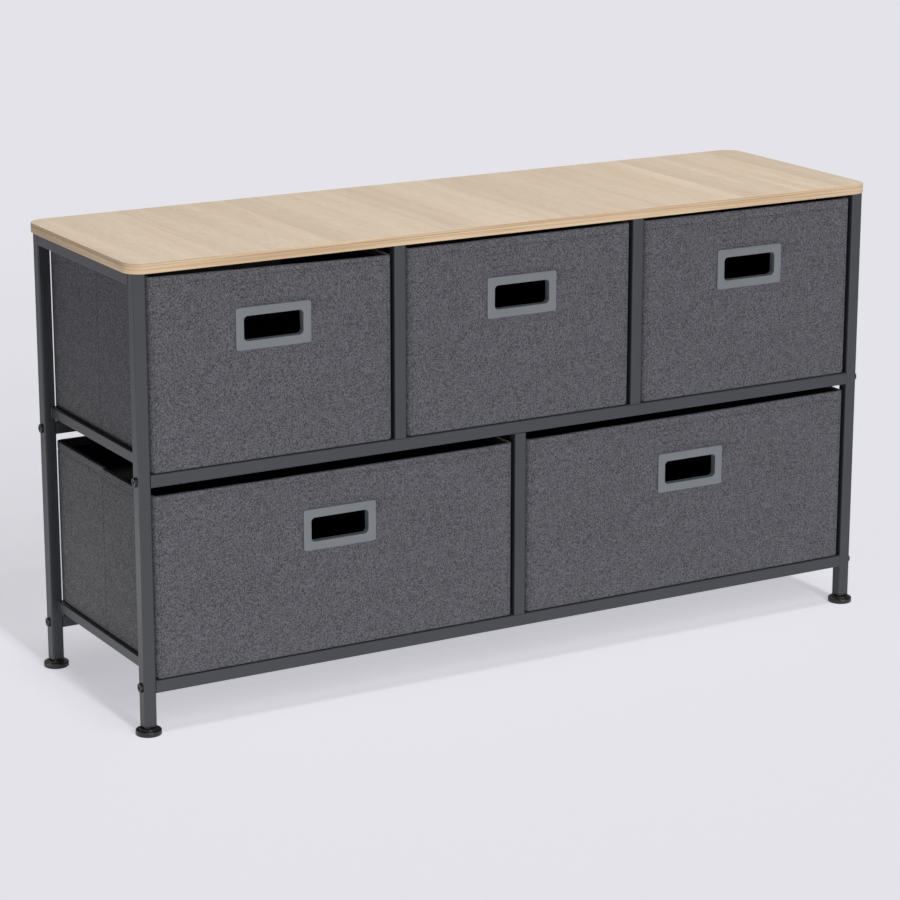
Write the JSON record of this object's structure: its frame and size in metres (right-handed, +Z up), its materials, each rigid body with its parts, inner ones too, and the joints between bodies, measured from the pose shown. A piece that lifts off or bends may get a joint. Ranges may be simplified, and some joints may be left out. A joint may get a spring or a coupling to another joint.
{
  "type": "fabric drawer dresser",
  "caption": "Low wide dresser: square-tube steel frame, wood-effect board on top, fabric drawers in two rows with slot handles, and round levelling feet.",
  "frame": {"origin": "on the floor, below the middle of the dresser", "axes": "+X to the right as seen from the front, +Y to the back, +Z up"},
  "size_m": [1.002, 0.299, 0.545],
  "materials": {
    "oak_board": "light oak foil on particle board, matt",
    "frame_steel": "anthracite powder coat, matt",
    "drawer_fabric": "dark grey non-woven fabric with a linen look",
    "drawer_board": "thin brown fibreboard",
    "wrapped_board": "thin fibreboard wrapped in black non-woven cloth",
    "handle_plastic": "blue-grey moulded plastic, satin",
    "foot_plastic": "black moulded plastic, satin",
    "plug_plastic": "black moulded plastic",
    "bolt_steel": "dark plated steel",
    "zinc_steel": "bright zinc plate",
    "beech": "plain turned wood"
  },
  "bodies": {
    "frame": {"top_board": "oak_board", "front_left_post": "frame_steel", "front_right_post": "frame_steel", "back_left_post": "frame_steel", "back_right_post": "frame_steel", "left_top_rail": "frame_steel", "left_middle_rail": "frame_steel", "left_bottom_rail": "frame_steel", "right_top_rail": "frame_steel", "right_middle_rail": "frame_steel", "right_bottom_rail": "frame_steel", "front_middle_rail": "frame_steel", "front_bottom_rail": "frame_steel", "back_middle_rail": "frame_steel", "back_bottom_rail": "frame_steel", "front_left_divider": "frame_steel", "front_right_divider": "frame_steel", "front_centre_divider": "frame_steel", "back_left_divider": "frame_steel", "back_right_divider": "frame_steel", "back_centre_divider": "frame_steel", "frame_bolts": "bolt_steel", "inner_screws": "zinc_steel", "divider_pegs": "beech", "tube_end_plugs": "plug_plastic", "post_plugs": "plug_plastic"},
    "front_left_foot": {"front_left_foot_pad": "foot_plastic", "front_left_foot_stud": "zinc_steel"},
    "front_right_foot": {"front_right_foot_pad": "foot_plastic", "front_right_foot_stud": "zinc_steel"},
    "back_left_foot": {"back_left_foot_pad": "foot_plastic", "back_left_foot_stud": "zinc_steel"},
    "back_right_foot": {"back_right_foot_pad": "foot_plastic", "back_right_foot_stud": "zinc_steel"},
    "upper_left_drawer": {"upper_left_bin": "drawer_fabric", "upper_left_wall_boards": "drawer_board", "upper_left_base_board": "wrapped_board", "upper_left_handle": "handle_plastic", "upper_left_handle_ring": "handle_plastic"},
    "upper_middle_drawer": {"upper_middle_bin": "drawer_fabric", "upper_middle_wall_boards": "drawer_board", "upper_middle_base_board": "wrapped_board", "upper_middle_handle": "handle_plastic", "upper_middle_handle_ring": "handle_plastic"},
    "upper_right_drawer": {"upper_right_bin": "drawer_fabric", "upper_right_wall_boards": "drawer_board", "upper_right_base_board": "wrapped_board", "upper_right_handle": "handle_plastic", "upper_right_handle_ring": "handle_plastic"},
    "lower_left_drawer": {"lower_left_bin": "drawer_fabric", "lower_left_wall_boards": "drawer_board", "lower_left_base_board": "wrapped_board", "lower_left_handle": "handle_plastic", "lower_left_handle_ring": "handle_plastic"},
    "lower_right_drawer": {"lower_right_bin": "drawer_fabric", "lower_right_wall_boards": "drawer_board", "lower_right_base_board": "wrapped_board", "lower_right_handle": "handle_plastic", "lower_right_handle_ring": "handle_plastic"}
  },
  "joints": [
    {"name": "front_left_foot_height", "type": "slide", "parent": "frame", "child": "front_left_foot", "axis": [0, 0, -1], "range_m": [-0.0015, 0.01]},
    {"name": "front_right_foot_height", "type": "slide", "parent": "frame", "child": "front_right_foot", "axis": [0, 0, -1], "range_m": [-0.0015, 0.01]},
    {"name": "back_left_foot_height", "type": "slide", "parent": "frame", "child": "back_left_foot", "axis": [0, 0, -1], "range_m": [-0.0015, 0.01]},
    {"name": "back_right_foot_height", "type": "slide", "parent": "frame", "child": "back_right_foot", "axis": [0, 0, -1], "range_m": [-0.0015, 0.01]},
    {"name": "upper_left_drawer_slide", "type": "slide", "parent": "frame", "child": "upper_left_drawer", "axis": [0, -1, 0], "range_m": [0, 0.21]},
    {"name": "upper_middle_drawer_slide", "type": "slide", "parent": "frame", "child": "upper_middle_drawer", "axis": [0, -1, 0], "range_m": [0, 0.21]},
    {"name": "upper_right_drawer_slide", "type": "slide", "parent": "frame", "child": "upper_right_drawer", "axis": [0, -1, 0], "range_m": [0, 0.21]},
    {"name": "lower_left_drawer_slide", "type": "slide", "parent": "frame", "child": "lower_left_drawer", "axis": [0, -1, 0], "range_m": [0, 0.21]},
    {"name": "lower_right_drawer_slide", "type": "slide", "parent": "frame", "child": "lower_right_drawer", "axis": [0, -1, 0], "range_m": [0, 0.21]}
  ]
}
